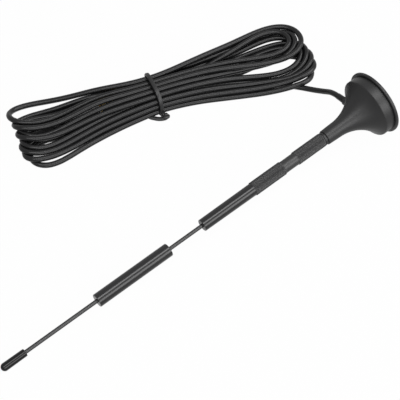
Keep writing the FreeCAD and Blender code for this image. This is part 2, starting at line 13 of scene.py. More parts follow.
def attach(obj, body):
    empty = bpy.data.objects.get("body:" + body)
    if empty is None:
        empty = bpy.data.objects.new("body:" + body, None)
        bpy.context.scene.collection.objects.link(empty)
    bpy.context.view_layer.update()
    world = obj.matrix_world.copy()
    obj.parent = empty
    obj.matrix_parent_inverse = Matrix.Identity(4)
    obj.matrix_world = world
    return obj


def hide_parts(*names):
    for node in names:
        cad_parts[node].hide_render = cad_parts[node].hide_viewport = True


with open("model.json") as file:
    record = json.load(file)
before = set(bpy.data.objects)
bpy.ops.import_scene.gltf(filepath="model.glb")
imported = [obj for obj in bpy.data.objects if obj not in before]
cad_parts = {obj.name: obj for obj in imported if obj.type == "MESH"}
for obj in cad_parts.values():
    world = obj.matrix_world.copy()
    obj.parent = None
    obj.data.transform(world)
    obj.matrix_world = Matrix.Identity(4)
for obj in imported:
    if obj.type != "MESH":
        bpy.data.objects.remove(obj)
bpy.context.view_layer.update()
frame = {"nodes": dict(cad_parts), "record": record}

bl_info = {
    "name": "Magnetic Mount Antenna",
    "version": (1, 0, 0),
    "blender": (4, 5, 0),
    "location": "View3D > Sidebar > Antenna",
    "description": "Dresses the packed solids of a magnetic mount antenna",
    "category": "Object",
}

MM = 0.001
TINY = 1e-6
WHITE = (1, 1, 1, 1)

# Most that a rounded corner takes of the edge beside it
MOST_CUT = 0.49

# Slot and body of every solid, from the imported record
SLOT_OF = {part["node"]: part["material_slot"] for part in frame["record"]["subparts"]}
BODY_OF = {
    node: body
    for body, nodes in frame["record"]["behaviour"]["bodies"].items()
    for node in nodes
}

# The foot's flat face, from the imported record; the whip runs the other way
FOOT_MOUNT = next(mount for mount in frame["record"]["mounts"] if mount["name"] == "magnet_face")
FOOT_FACE = Vector(FOOT_MOUNT["pos_m"]) / MM
WHIP_WAY = -Vector(FOOT_MOUNT["axis"]).normalized()
SIDE_WAY = Vector((0, 1, 0))
OUTLET_ROLL = math.radians(14)
OUTLET_WAY = SIDE_WAY * math.cos(OUTLET_ROLL) + WHIP_WAY.cross(SIDE_WAY) * math.sin(OUTLET_ROLL)

# Heights along the whip from the foot's face, in mm
PAD_TOP = 1.6
CUP_TOP = 6.1
SKIRT_TOP = 6.6
CABLE_HEIGHT = 9.5
SEAT_TOP = 15.0
STUD_FOOT = 25.2
NECK_TOP = 32.7
SEAL_TOP = 34.15
FERRULE_FOOT = 34.2
BAND_FOOT = 51.0
UPPER_KNURL_FOOT = 58.8
TUBE_FOOT = 77.2
SPIGOT_TOP = 83.7
LOWER_ROD_FOOT = 101.4
TUBE_TOP = 107.4
PHASING_FOOT = 126.9
LOWER_ROD_TOP = 132.9
UPPER_ROD_FOOT = 161.9
PHASING_TOP = 167.9
CAP_FOOT = 207.3
UPPER_ROD_TOP = 217.0
NOSE_FOOT = 218.25

# Radii about the whip's axis, in mm
PAD_RADIUS = 16.5
SKIRT_RADIUS = 15.1
CUP_RADIUS = 13.5
SEAT_RADIUS = 4.0
NECK_RADIUS = 3.75
NECK_BORE = 3.0
SEAL_RADIUS = 3.3
SEAL_BORE = 2.05
STUD_RADIUS = 2.0
FERRULE_RIM = 3.15
BAND_RADIUS = 3.1
TUBE_RADIUS = 3.15
TUBE_TOP_RADIUS = 3.0
TUBE_BORE = 2.2
PHASING_RADIUS = 3.25
PHASING_BORE = 2.4
ROD_RADIUS = 0.95
CAP_RIM = 1.85
CAP_RADIUS = 1.95

# Concave flare of the bell: radius and height of its centre, its own radius, in mm, and its sweep
FLARE_CENTRE = (26.5, 26.0)
FLARE_RADIUS = 22.5
FLARE_SWEEP = math.radians(59.56)
FLARE_STEPS = 24
NOSE_STEPS = 12

# Cable outlet: radii about its own axis and distances from the whip's axis, in mm
BOSS_RADIUS = 2.1
BOSS_BORE = 1.65
BOSS_ROOT = 4.6
BOSS_END = 11.8
RELIEF_BORE = 1.4
RELIEF_TIP = 1.55
RELIEF_ROOT = 4.0
RELIEF_END = 16.8

# End plugs of the tubes as (radius, foot, top), and rods as (foot, top)
END_PLUGS = [
    (TUBE_BORE, LOWER_ROD_FOOT, TUBE_TOP),
    (PHASING_BORE, PHASING_FOOT, LOWER_ROD_TOP),
    (PHASING_BORE, UPPER_ROD_FOOT, PHASING_TOP),
]
RODS = [(LOWER_ROD_FOOT, LOWER_ROD_TOP), (UPPER_ROD_FOOT, UPPER_ROD_TOP)]

# Knurl: chamfer and end gap of a grip in mm, a diamond's share of its cell, its top, its edge angle
GRIP_CHAMFER = 0.4
GRIP_GAP = 0.25
DIAMOND_FILL = 0.96
DIAMOND_TOP = 0.22
DIAMOND_EDGE = math.radians(20)

# Grain of every finish: sizes of its noise, range of the patches, depth in metres, least roughness
GRAIN_SCALE = 2600
PATCH_SCALE = 90
PATCH_RANGE = (0.3, 0.7)
GRAIN_DEPTH = 0.00005
LEAST_ROUGHNESS = 0.03

# Hank frame in mm: u along the bundle, v across it, z up, from the tie on the floor
HANK_AT = Vector((32.8, 76.4, 0))
HANK_TURN = math.radians(-15.7)
PLUG_HEIGHT = 4.72
PLUG_SIDE = 3.4
PLUG_NODES = (
    "plug_boot", "crimp_sleeve", "plug_body", "plug_dielectric", "plug_pin", "snap_ring", "coupling_nut",
)

# Route of the lead from the outlet down to the floor, in mm in the row frame
LEAD_ROUTE = [
    (100.12, 16.30, 11.84),
    (100.19, 20.38, 10.82),
    (99.9, 25.2, 6.9),
    (98.6, 31.6, 2.9),
    (95.4, 37.6, 1.6),
    (91.1, 42.6, 1.5),
]

# Where the lead runs into the hank, and where the last turn enters the plug, as (u, v, z)
LEAD_IN = [
    (60.0, -15.0, 1.5), (44.0, -10.8, 1.5), (34.0, -8.2, 1.5), (24.0, -6.4, 1.6), (13.0, -5.4, 2.0),
]
LEAD_END = [(1.0, PLUG_SIDE, PLUG_HEIGHT), (-4.0, PLUG_SIDE, PLUG_HEIGHT)]

# Places of the strands inside the tie as (v, z): those that run to the left end, and back
FAR_STRANDS = [
    (8.0, 10.6), (9.2, 7.9), (9.3, 5.1), (9.4, 2.3),
    (6.6, 2.3), (0.4, 2.3), (-2.2, 2.3), (-5.0, 2.3),
]
NEAR_STRANDS = [
    (5.2, 11.2), (2.4, 11.4), (-0.4, 11.3), (-3.1, 10.4),
    (-2.0, 7.6), (-5.1, 8.4), (-6.4, 5.5), (-7.2, 3.2),
]

# Ways between the tie and a loop as (share of the change in v, share of that in z, distance in u)
LEFT_WAY = [
    (0.0, 0.0, 3.0), (0.06, 0.0, 12.0), (0.3, 0.06, 24.0), (0.62, 0.5, 36.0), (0.98, 0.95, 50.0),
]
RIGHT_WAY_OUT = [
    (0.0, 0.0, 3.0), (0.04, 0.0, 14.0), (0.18, 0.15, 25.0),
    (0.36, 0.4, 34.5), (0.6, 0.7, 44.0), (0.86, 0.9, 55.0),
]
RIGHT_WAY_BACK = [(0.0, 0.0, 3.0), (0.16, 0.0, 14.0), (0.5, 0.4, 31.0), (0.98, 0.95, 55.0)]

# Loops of the left end, top one first: outgoing v, returning v, reach, and their three heights
LEFT_LOOPS = [
    (20.0, 8.2, 71.0, 3.0, 6.0, 6.2),
    (10.6, 3.4, 70.4, 1.6, 5.4, 4.8),
    (9.4, 2.3, 69.4, 1.6, 5.0, 4.0),
    (5.4, -2.2, 70.4, 1.6, 4.6, 4.2),
    (3.4, -5.0, 71.0, 1.6, 4.0, 3.6),
    (1.4, -7.8, 71.2, 1.6, 3.0, 2.8),
    (-0.6, -10.6, 71.0, 1.6, 2.0, 2.0),
    (-2.4, -13.4, 69.4, 1.6, 1.6, 1.6),
]

# Loops of the right end, bottom one first: outgoing v, returning v, reach, and their three heights
RIGHT_LOOPS = [
    (-17.8, 0.4, 83.2, 1.6, 1.6, 1.6),
    (-16.0, 2.6, 83.3, 3.2, 1.6, 2.2),
    (-14.0, 5.2, 83.5, 2.4, 2.2, 2.8),
    (-10.9, 9.2, 82.5, 3.4, 2.8, 3.4),
    (-8.0, 12.4, 81.3, 4.6, 3.8, 4.4),
    (-1.0, 14.2, 80.6, 5.4, 4.6, 5.2),
    (-3.2, 16.3, 83.0, 8.0, 6.2, 7.2),
    (2.4, 13.4, 78.4, 8.2, 7.0, 8.0),
]

# Round end of a loop: its bow in u against half its width, its swing in v, and its steps
LOOP_BOW = 1.05
LOOP_SWING = 0.52
LOOP_STEPS = 6

# Points on the lead: steps of the smooth line, spacing in mm, held ones at each end, one in so many used
LINE_STEPS = 24
STRAND_STEP = 3.0
HELD_POINTS = 3
POINT_SKIP = 2

# Contact of strands: search in diameters, own points that don't count, length in steps
CONTACT_SEARCH = 1.45
CONTACT_OWN = 5
CONTACT_LENGTH = 0.75

# Shares by which a round of settling corrects contact, bends, lengths and room round the plug
PUSH_SHARE = 0.45
BEND_SHARE = 0.4
LENGTH_SHARE = 0.45
ROOM_SHARE = 0.6
HOME_SHARE = 0.02
BEND_ROUNDS = 4
LENGTH_ROUNDS = 6

# Limits while settling, in mm: sag in a round, gap over the floor, and the inside of the tie
SAG = 0.01
FLOOR_GAP = 0.1
WAIST_HALF = 3.0
WAIST_V = (-7.2, 9.4)
WAIST_Z = (2.3, 11.4)

# Room that strands leave round the plug's axis, in mm, and where along u; points that lead into it
PLUG_SPAN = (-28.0, -0.5)
NUT_START = -15.0
NUT_ROOM = 6.1
BOOT_ROOM = 4.4
LEAST_OFF = 0.1
PLUG_POINTS = 12

# Twist tie in the hank's frame: its way round the waist as (v, z) and its ends as (u, v, z), in mm
TIE_AROUND = [
    (-9.1, 2.4), (-8.6, 5.8), (-7.0, 9.4), (-3.8, 12.3), (2.0, 13.2), (7.2, 12.9),
    (10.4, 10.8), (11.2, 6.6), (10.6, 2.4), (8.2, 1.0), (-6.4, 1.0), (-8.6, 1.4),
]
TIE_ENDS = [
    [(0.9, -8.9, 2.4), (1.4, -10.0, 2.6), (1.9, -10.4, 1.2), (2.5, -10.6, 2.4), (2.0, -11.8, 1.8),
     (0.4, -11.6, 1.4), (-1.6, -10.8, 1.2), (-3.4, -9.6, 1.2), (-5.0, -8.2, 1.2), (-6.0, -6.6, 1.2)],
    [(0.7, -8.7, 1.4), (1.4, -9.6, 1.0), (1.8, -10.7, 2.6), (2.6, -10.5, 1.2), (2.9, -11.6, 2.1),
     (2.0, -12.2, 2.5), (0.9, -11.6, 2.3)],
]
TIE_MIDDLE = (0, 1.0, 6.8)
TIE_SHIFT = 0.8
TIE_WAVE = 0.25
BAND_STEP = 0.7
BAND_THICK = 1.3
TAIL_STEP = 0.4
TAIL_THICK = 1.7
STRIP_POWER = 0.7

# Stage in metres: lamps as (direction, distance, length, width), the point they aim at, the floor
TOP_STRIP = ((0.1, -0.19, 0.977), 1.0, 3.0, 0.34)
FRONT_SOFTBOX = ((0.2, -0.857, 0.475), 0.9, 2.6, 0.46)
LAMP_AIM = Vector((0, 0.02, 0.015))
FLOOR_HALF = 3.0
PAPER_COLOR = (0.35, 0.35, 0.35, 1)
PAPER_ROUGHNESS = 0.9
PAPER_SPECULAR = 0.1
PAPER_GLOW = 0.98
SENSOR_WIDTH = 36
CLIP_RANGE = (0.01, 20)


def color_setting(name, description, default):
    """Colour that the panel shows as a swatch."""
    return FloatVectorProperty(
        name=name, description=description, default=default, subtype="COLOR", size=3, min=0, max=1)


class AntennaFinish(bpy.types.PropertyGroup):
    """Colours and gloss of the visible finishes."""

    shell: color_setting("Shell", "Moulded bell of the foot", (0.0045, 0.0045, 0.0047))
    rubber: color_setting("Rubber", "Pad under the foot, seal ring and boot", (0.005, 0.005, 0.0052))
    tube: color_setting("Tube", "Satin tubes of the whip", (0.0045, 0.0045, 0.0047))
    plated: color_setting("Plated metal", "Blackened ferrule and rods", (0.008, 0.008, 0.0083))
    cap: color_setting("Tip cap", "Glossy cap on the tip", (0.002, 0.002, 0.0021))
    jacket: color_setting("Cable jacket", "Jacket of the lead and twist tie", (0.005, 0.005, 0.0052))
    gloss: FloatProperty(
        name="Gloss", description="Gloss of the black finishes against their own",
        subtype="FACTOR", default=1.0, min=0.05, max=2)


class AntennaKnurl(bpy.types.PropertyGroup):
    """Diamond knurl of the ferrule."""

    around: IntProperty(
        name="Around", description="Diamonds round the ferrule", default=26, min=8, max=80)
    pitch: FloatProperty(
        name="Pitch", description="Length of one diamond along the ferrule", unit="LENGTH",
        default=1.0 * MM, min=0.3 * MM, max=5 * MM)
    depth: FloatProperty(
        name="Depth", description="Height of a diamond over its grooves", unit="LENGTH",
        default=0.2 * MM, min=0.02 * MM, max=1 * MM)
    radius: FloatProperty(
        name="Radius", description="Radius over the diamonds", unit="LENGTH",
        default=3.45 * MM, min=1 * MM, max=10 * MM)


class AntennaLead(bpy.types.PropertyGroup):
    """Coaxial lead and its hank."""

    diameter: FloatProperty(
        name="Diameter", description="Outside diameter of the cable", unit="LENGTH",
        default=2.8 * MM, min=1 * MM, max=8 * MM)
    length: FloatProperty(
        name="Length", description="Length of the cable", unit="LENGTH",
        default=2.6, min=0.5, max=10)
    rounds: IntProperty(
        name="Settling rounds", description="Rounds in which the strands settle on each other",
        default=260, min=0, max=2000)
    tie_width: FloatProperty(
        name="Tie width", description="Width of the twist tie", unit="LENGTH",
        default=2.1 * MM, min=0.5 * MM, max=5 * MM)


class AntennaStage(bpy.types.PropertyGroup):
    """Camera and light."""

    azimuth: FloatProperty(
        name="Azimuth", description="Camera's direction round the antenna", unit="ROTATION",
        default=math.radians(-38.72))
    elevation: FloatProperty(
        name="Elevation", description="Camera's height over the horizon", unit="ROTATION",
        default=math.radians(55.43))
    distance: FloatProperty(
        name="Distance", description="Camera's distance from its target", unit="LENGTH",
        default=0.7, min=0.1, max=5)
    target: FloatVectorProperty(
        name="Target", description="Point that the camera looks at", subtype="TRANSLATION", size=3,
        default=(0.0144, 0.0168, 0.0))
    lens: FloatProperty(
        name="Lens", description="Focal length on a 36 mm sensor", default=133.24, min=10, max=500)
    daylight: FloatProperty(
        name="Daylight", description="Strength of the even light from all round", default=0.1, min=0, max=5)
    strip: FloatProperty(
        name="Strip", description="Radiance of the narrow light overhead", default=7.5, min=0, max=100)
    softbox: FloatProperty(
        name="Softbox", description="Radiance of the broad light in front", default=5.4, min=0, max=100)


def lathe_point(origin, way, radius, turn, height):
    """Point at a radius, turn and height about an axis, in mm."""
    across = way.orthogonal().normalized()
    other = way.cross(across)
    return origin + way * height + (across * math.cos(turn) + other * math.sin(turn)) * radius


def softened(corners, steps=4):
    """Profile whose corners (radius, height, round) are replaced by curves of about their round."""
    points = []
    count = len(corners)
    for index, (radius, height, soft) in enumerate(corners):
        here = Vector((radius, height))
        if soft <= 0:
            points.append(here)
            continue
        before = Vector(corners[index - 1][:2]) - here
        after = Vector(corners[(index + 1) % count][:2]) - here
        half = before.angle(after) / 2
        cut = min(soft / math.tan(half), MOST_CUT * before.length, MOST_CUT * after.length)
        start = here + before.normalized() * cut
        end = here + after.normalized() * cut
        for step in range(steps + 1):
            share = step / steps
            points.append(start.lerp(here, share).lerp(here.lerp(end, share), share))
    return points


def smooth_mesh(mesh, angle=32):
    """Smooth faces, with sharp edges from an angle in degrees."""
    mesh.polygons.foreach_set("use_smooth", [True] * len(mesh.polygons))
    mesh.set_sharp_from_angle(angle=math.radians(angle))


def lathe_mesh(name, profiles, origin=FOOT_FACE, way=WHIP_WAY, segments=96):
    """Closed profiles of (radius, height) in mm, turned about an axis into one mesh in metres."""
    shape = bmesh.new()
    for profile in profiles:
        rings = []
        for radius, height in profile:
            if radius < TINY:
                rings.append([shape.verts.new((origin + way * height) * MM)])
                continue
            turns = [2 * math.pi * step / segments for step in range(segments)]
            rings.append([shape.verts.new(lathe_point(origin, way, radius, turn, height) * MM)
                          for turn in turns])
        for ring, following in zip(rings, rings[1:] + rings[:1]):
            for step in range(segments):
                after = (step + 1) % segments
                corners = [ring[step % len(ring)], ring[after % len(ring)],
                           following[after % len(following)], following[step % len(following)]]
                unique = list(dict.fromkeys(corners))
                if len(unique) > 2:
                    shape.faces.new(unique)
    bmesh.ops.recalc_face_normals(shape, faces=shape.faces)
    mesh = bpy.data.meshes.new(name)
    shape.to_mesh(mesh)
    shape.free()
    smooth_mesh(mesh)
    return mesh


def merged_copy(node):
    """Welded copy of a solid's mesh with smooth faces and sharp edges."""
    mesh = frame["nodes"][node].data.copy()
    mesh.name = node + "_finished"
    shape = bmesh.new()
    shape.from_mesh(mesh)
    bmesh.ops.remove_doubles(shape, verts=shape.verts, dist=TINY)
    shape.to_mesh(mesh)
    shape.free()
    smooth_mesh(mesh, angle=28)
    return mesh


def joined_mesh(name, meshes):
    """One mesh out of several, which are removed."""
    shape = bmesh.new()
    for mesh in meshes:
        shape.from_mesh(mesh)
        bpy.data.meshes.remove(mesh)
    joined = bpy.data.meshes.new(name)
    shape.to_mesh(joined)
    shape.free()
    smooth_mesh(joined)
    return joined


def grain_group():
    """Fine surface grain: a height for bumps and a soft mask for colour and gloss."""
    name = "moulded_grain"
    if name in bpy.data.node_groups:
        return bpy.data.node_groups[name]
    group = bpy.data.node_groups.new(name, "ShaderNodeTree")
    face = group.interface
    face.new_socket("Vector", in_out="INPUT", socket_type="NodeSocketVector")
    face.new_socket("Grain Scale", in_out="INPUT", socket_type="NodeSocketFloat")
    face.new_socket("Patch Scale", in_out="INPUT", socket_type="NodeSocketFloat")
    face.new_socket("Height", in_out="OUTPUT", socket_type="NodeSocketFloat")
    face.new_socket("Patches", in_out="OUTPUT", socket_type="NodeSocketFloat")
    taken = group.nodes.new("NodeGroupInput")
    given = group.nodes.new("NodeGroupOutput")
    grain = group.nodes.new("ShaderNodeTexNoise")
    grain.inputs["Detail"].default_value = 3.0
    patches = group.nodes.new("ShaderNodeTexNoise")
    patches.inputs["Detail"].default_value = 4.0
    patches.inputs["Roughness"].default_value = 0.6
    link = group.links.new
    link(taken.outputs["Vector"], grain.inputs["Vector"])
    link(taken.outputs["Grain Scale"], grain.inputs["Scale"])
    link(taken.outputs["Vector"], patches.inputs["Vector"])
    link(taken.outputs["Patch Scale"], patches.inputs["Scale"])
    link(grain.outputs["Fac"], given.inputs["Height"])
    link(patches.outputs["Fac"], given.inputs["Patches"])
    return group


def whip_mapping(nodes, links, along):
    """Object coordinates turned so that Z runs along the whip, stretched along it by a share."""
    place = nodes.new("ShaderNodeTexCoord")
    turn = nodes.new("ShaderNodeMapping")
    turn.vector_type = "TEXTURE"
    turn.inputs["Rotation"].default_value = WHIP_WAY.to_track_quat("Z", "Y").to_euler()
    turn.inputs["Scale"].default_value = (1, 1, along)
    links.new(place.outputs["Object"], turn.inputs["Vector"])
    return turn.outputs["Vector"]


def finish_material(slot, color, rough, bump=0.06, spread=0.1, tint=1.35,
                    metallic=0.0, specular=0.5, along=1.0):
    """Principled finish with grain, patches of gloss and a slight change of colour."""
    material = bpy.data.materials.new("finish_" + slot)
    material.use_nodes = True
    nodes = material.node_tree.nodes
    links = material.node_tree.links
    shader = nodes["Principled BSDF"]
    shader.inputs["Metallic"].default_value = metallic
    shader.inputs["Specular IOR Level"].default_value = specular
    surface = nodes.new("ShaderNodeGroup")
    surface.node_tree = grain_group()
    surface.inputs["Grain Scale"].default_value = GRAIN_SCALE
    surface.inputs["Patch Scale"].default_value = PATCH_SCALE
    links.new(whip_mapping(nodes, links, along), surface.inputs["Vector"])
    shade = nodes.new("ShaderNodeMix")
    shade.data_type = "RGBA"
    shade.inputs["A"].default_value = (*color, 1)
    shade.inputs["B"].default_value = (*(min(part * tint, 1) for part in color), 1)
    links.new(surface.outputs["Patches"], shade.inputs["Factor"])
    links.new(shade.outputs["Result"], shader.inputs["Base Color"])
    gloss = nodes.new("ShaderNodeMapRange")
    gloss.inputs["From Min"].default_value = PATCH_RANGE[0]
    gloss.inputs["From Max"].default_value = PATCH_RANGE[1]
    gloss.inputs["To Min"].default_value = max(rough - spread / 2, LEAST_ROUGHNESS)
    gloss.inputs["To Max"].default_value = min(rough + spread / 2, 1)
    links.new(surface.outputs["Patches"], gloss.inputs["Value"])
    links.new(gloss.outputs["Result"], shader.inputs["Roughness"])
    relief = nodes.new("ShaderNodeBump")
    relief.inputs["Strength"].default_value = bump
    relief.inputs["Distance"].default_value = GRAIN_DEPTH
    links.new(surface.outputs["Height"], relief.inputs["Height"])
    links.new(relief.outputs["Normal"], shader.inputs["Normal"])
    return material


def finish_set():
    """Every finish of the antenna by its slot, made once."""
    look = bpy.context.scene.antenna_finish
    matt = 1 / look.gloss
    recipes = {
        "shell_black": (look.shell, 0.46 * matt, {"bump": 0.1, "specular": 0.32}),
        "pad_rubber": (look.rubber, 0.45 * matt, {"bump": 0.3, "specular": 0.3}),
        "tube_black": (look.tube, 0.2 * matt, {"bump": 0.04, "spread": 0.04, "specular": 0.33, "along": 6.0}),
        "knurl_black": (look.plated, 0.42 * matt, {"bump": 0.04, "specular": 0.38}),
        "rod_black": (look.plated, 0.2 * matt, {"bump": 0.04, "specular": 0.35, "along": 8.0}),
        "cap_black": (look.cap, 0.07 * matt, {"bump": 0.02, "spread": 0.02, "specular": 0.2}),
        "cable_jacket": (look.jacket, 0.25 * matt, {"bump": 0.02, "specular": 0.2}),
        "tie_black": (look.jacket, 0.4 * matt, {"bump": 0.3, "specular": 0.3}),
        "boot_black": (look.rubber, 0.5 * matt, {}),
        "steel_plate": ((0.55, 0.55, 0.56), 0.32, {"metallic": 1.0, "tint": 1.1}),
        "magnet_ferrite": ((0.05, 0.05, 0.055), 0.55, {"bump": 0.3}),
        "white_insulator": ((0.72, 0.72, 0.69), 0.38, {"tint": 1.08}),
        "brass_insert": ((0.70, 0.50, 0.20), 0.26, {"metallic": 1.0, "tint": 1.12, "along": 0.2}),
        "copper_wire": ((0.72, 0.36, 0.20), 0.28, {"metallic": 1.0, "tint": 1.12}),
        "nickel_plate": ((0.62, 0.60, 0.56), 0.22, {"metallic": 1.0, "tint": 1.1}),
        "gold_plate": ((0.80, 0.58, 0.20), 0.2, {"metallic": 1.0, "tint": 1.12}),
    }
    finishes = {}
    for slot, (color, rough, details) in recipes.items():
        known = bpy.data.materials.get("finish_" + slot)
        finishes[slot] = known or finish_material(slot, color, rough, **details)
    return finishes


def add_piece(name, mesh, body, slot, nodes):
    """Object at the origin that rides on a body and stands for its solids."""
    piece = bpy.data.objects.new(name, mesh)
    bpy.context.scene.collection.objects.link(piece)
    mesh.materials.clear()
    mesh.materials.append(finish_set()[slot])
    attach(piece, body)
    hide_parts(*nodes)
    return piece


class AntennaOperator:
    """Options that every operator here shares."""

    bl_options = {"REGISTER"}


class ANTENNA_OT_foot(AntennaOperator, bpy.types.Operator):
    """Turn the bell, its rubber pad, the seal ring and the cable outlet"""

    bl_idname = "antenna.foot"
    bl_label = "Foot"

    def execute(self, context):
        flare = []
        for step in range(FLARE_STEPS + 1):
            turn = FLARE_SWEEP * (1 - step / FLARE_STEPS)
            flare.append((FLARE_CENTRE[0] - FLARE_RADIUS * math.cos(turn),
                          FLARE_CENTRE[1] - FLARE_RADIUS * math.sin(turn), 0))
        flare[0] = (SKIRT_RADIUS, SKIRT_TOP, 1.4)
        bell = softened([
            (CUP_RADIUS, PAD_TOP, 0), (SKIRT_RADIUS, PAD_TOP, 0.2), *flare,
            (NECK_RADIUS, NECK_TOP, 0.3), (NECK_BORE, NECK_TOP, 0), (NECK_BORE, SEAT_TOP, 0),
            (SEAT_RADIUS, SEAT_TOP, 0), (SEAT_RADIUS, CUP_TOP, 0), (CUP_RADIUS, CUP_TOP, 0),
        ])
        boss = softened([
            (BOSS_BORE, BOSS_ROOT, 0), (BOSS_RADIUS, BOSS_ROOT, 0),
            (BOSS_RADIUS, BOSS_END, 0.3), (BOSS_BORE, BOSS_END, 0.1),
        ])
        outlet = FOOT_FACE + WHIP_WAY * CABLE_HEIGHT
        meshes = [
            lathe_mesh("bell_turned", [bell], segments=160),
            lathe_mesh("bell_boss", [boss], outlet, OUTLET_WAY, segments=48),
        ]
        add_piece("bell", joined_mesh("bell", meshes), "base", "shell_black", ["base_shell"])
        pad = softened([
            (0, 0, 0), (PAD_RADIUS, 0, 0.7), (PAD_RADIUS, PAD_TOP, 0.7), (0, PAD_TOP, 0),
        ], steps=6)
        mesh = lathe_mesh("foot_pad", [pad], segments=160)
        add_piece("foot_pad", mesh, "base", "pad_rubber", ["base_pad"])
        seal = softened([
            (SEAL_BORE, NECK_TOP, 0), (SEAL_RADIUS, NECK_TOP, 0.3),
            (SEAL_RADIUS, SEAL_TOP, 0.3), (SEAL_BORE, SEAL_TOP, 0),
        ])
        add_piece("neck_seal", lathe_mesh("neck_seal", [seal]), "base", "pad_rubber", ["seal_ring"])
        relief = softened([
            (RELIEF_BORE, RELIEF_ROOT, 0), (BOSS_BORE, RELIEF_ROOT, 0), (BOSS_BORE, BOSS_END, 0),
            (RELIEF_TIP, RELIEF_END, 0.12), (RELIEF_BORE, RELIEF_END, 0),
        ])
        mesh = lathe_mesh("cable_relief", [relief], outlet, OUTLET_WAY, segments=48)
        add_piece("cable_relief", mesh, "base", "cable_jacket", ["cable_grommet"])
        return {"FINISHED"}


def knurl_tree():
    """Geometry nodes: staggered diamonds on a cylinder about Z."""
    tree = bpy.data.node_groups.new("knurl_diamonds", "GeometryNodeTree")
    face = tree.interface
    face.new_socket("Geometry", in_out="INPUT", socket_type="NodeSocketGeometry")
    around = face.new_socket("Around", in_out="INPUT", socket_type="NodeSocketInt")
    rows = face.new_socket("Rows", in_out="INPUT", socket_type="NodeSocketInt")
    radius = face.new_socket("Radius", in_out="INPUT", socket_type="NodeSocketFloat")
    step = face.new_socket("Row Step", in_out="INPUT", socket_type="NodeSocketFloat")
    depth = face.new_socket("Depth", in_out="INPUT", socket_type="NodeSocketFloat")
    stuff = face.new_socket("Material", in_out="INPUT", socket_type="NodeSocketMaterial")
    face.new_socket("Geometry", in_out="OUTPUT", socket_type="NodeSocketGeometry")
    nodes = tree.nodes
    link = tree.links.new
    taken = nodes.new("NodeGroupInput")
    given = nodes.new("NodeGroupOutput")

    def maths(operation, first, second):
        node = nodes.new("ShaderNodeMath")
        node.operation = operation
        for socket, value in zip(node.inputs, (first, second)):
            if isinstance(value, (int, float)):
                socket.default_value = value
            else:
                link(value, socket)
        return node.outputs[0]

    count = maths("MULTIPLY", taken.outputs["Around"], taken.outputs["Rows"])
    points = nodes.new("GeometryNodePoints")
    link(count, points.inputs["Count"])
    index = nodes.new("GeometryNodeInputIndex").outputs[0]
    row = maths("FLOOR", maths("DIVIDE", maths("ADD", index, 0.5), taken.outputs["Around"]), 0)
    column = maths("SUBTRACT", index, maths("MULTIPLY", row, taken.outputs["Around"]))
    stagger = maths("MULTIPLY", maths("MODULO", row, 2), 0.5)
    share = maths("DIVIDE", maths("ADD", column, stagger), taken.outputs["Around"])
    turn = maths("MULTIPLY", share, 2 * math.pi)
    ground = maths("SUBTRACT", taken.outputs["Radius"], taken.outputs["Depth"])
    outward = nodes.new("ShaderNodeCombineXYZ")
    link(maths("COSINE", turn, 0), outward.inputs["X"])
    link(maths("SINE", turn, 0), outward.inputs["Y"])
    place = nodes.new("ShaderNodeCombineXYZ")
    link(maths("MULTIPLY", maths("COSINE", turn, 0), ground), place.inputs["X"])
    link(maths("MULTIPLY", maths("SINE", turn, 0), ground), place.inputs["Y"])
    link(maths("MULTIPLY", maths("ADD", row, 0.5), taken.outputs["Row Step"]), place.inputs["Z"])
    put = nodes.new("GeometryNodeSetPosition")
    link(points.outputs[0], put.inputs["Geometry"])
    link(place.outputs[0], put.inputs["Position"])
    facing = nodes.new("FunctionNodeAxesToRotation")
    facing.primary_axis = "Z"
    facing.secondary_axis = "X"
    link(outward.outputs[0], facing.inputs["Primary Axis"])
    facing.inputs["Secondary Axis"].default_value = (0, 0, 1)
    diamond = nodes.new("GeometryNodeMeshCone")
    diamond.fill_type = "NGON"
    diamond.inputs["Vertices"].default_value = 4
    diamond.inputs["Radius Top"].default_value = DIAMOND_TOP
    diamond.inputs["Radius Bottom"].default_value = 1.0
    diamond.inputs["Depth"].default_value = 1.0
    spread = nodes.new("ShaderNodeCombineXYZ")
    link(maths("MULTIPLY", taken.outputs["Row Step"], DIAMOND_FILL), spread.inputs["X"])
    half_girth = maths("MULTIPLY", taken.outputs["Radius"], math.pi * DIAMOND_FILL)
    link(maths("DIVIDE", half_girth, taken.outputs["Around"]), spread.inputs["Y"])
    link(taken.outputs["Depth"], spread.inputs["Z"])
    scatter = nodes.new("GeometryNodeInstanceOnPoints")
    link(put.outputs[0], scatter.inputs["Points"])
    link(diamond.outputs["Mesh"], scatter.inputs["Instance"])
    link(facing.outputs[0], scatter.inputs["Rotation"])
    link(spread.outputs[0], scatter.inputs["Scale"])
    whole = nodes.new("GeometryNodeRealizeInstances")
    link(scatter.outputs[0], whole.inputs[0])
    paint = nodes.new("GeometryNodeSetMaterial")
    link(whole.outputs[0], paint.inputs["Geometry"])
    link(taken.outputs["Material"], paint.inputs["Material"])
    link(paint.outputs[0], given.inputs[0])
    sockets = (around, rows, radius, step, depth, stuff)
    return tree, [socket.identifier for socket in sockets]


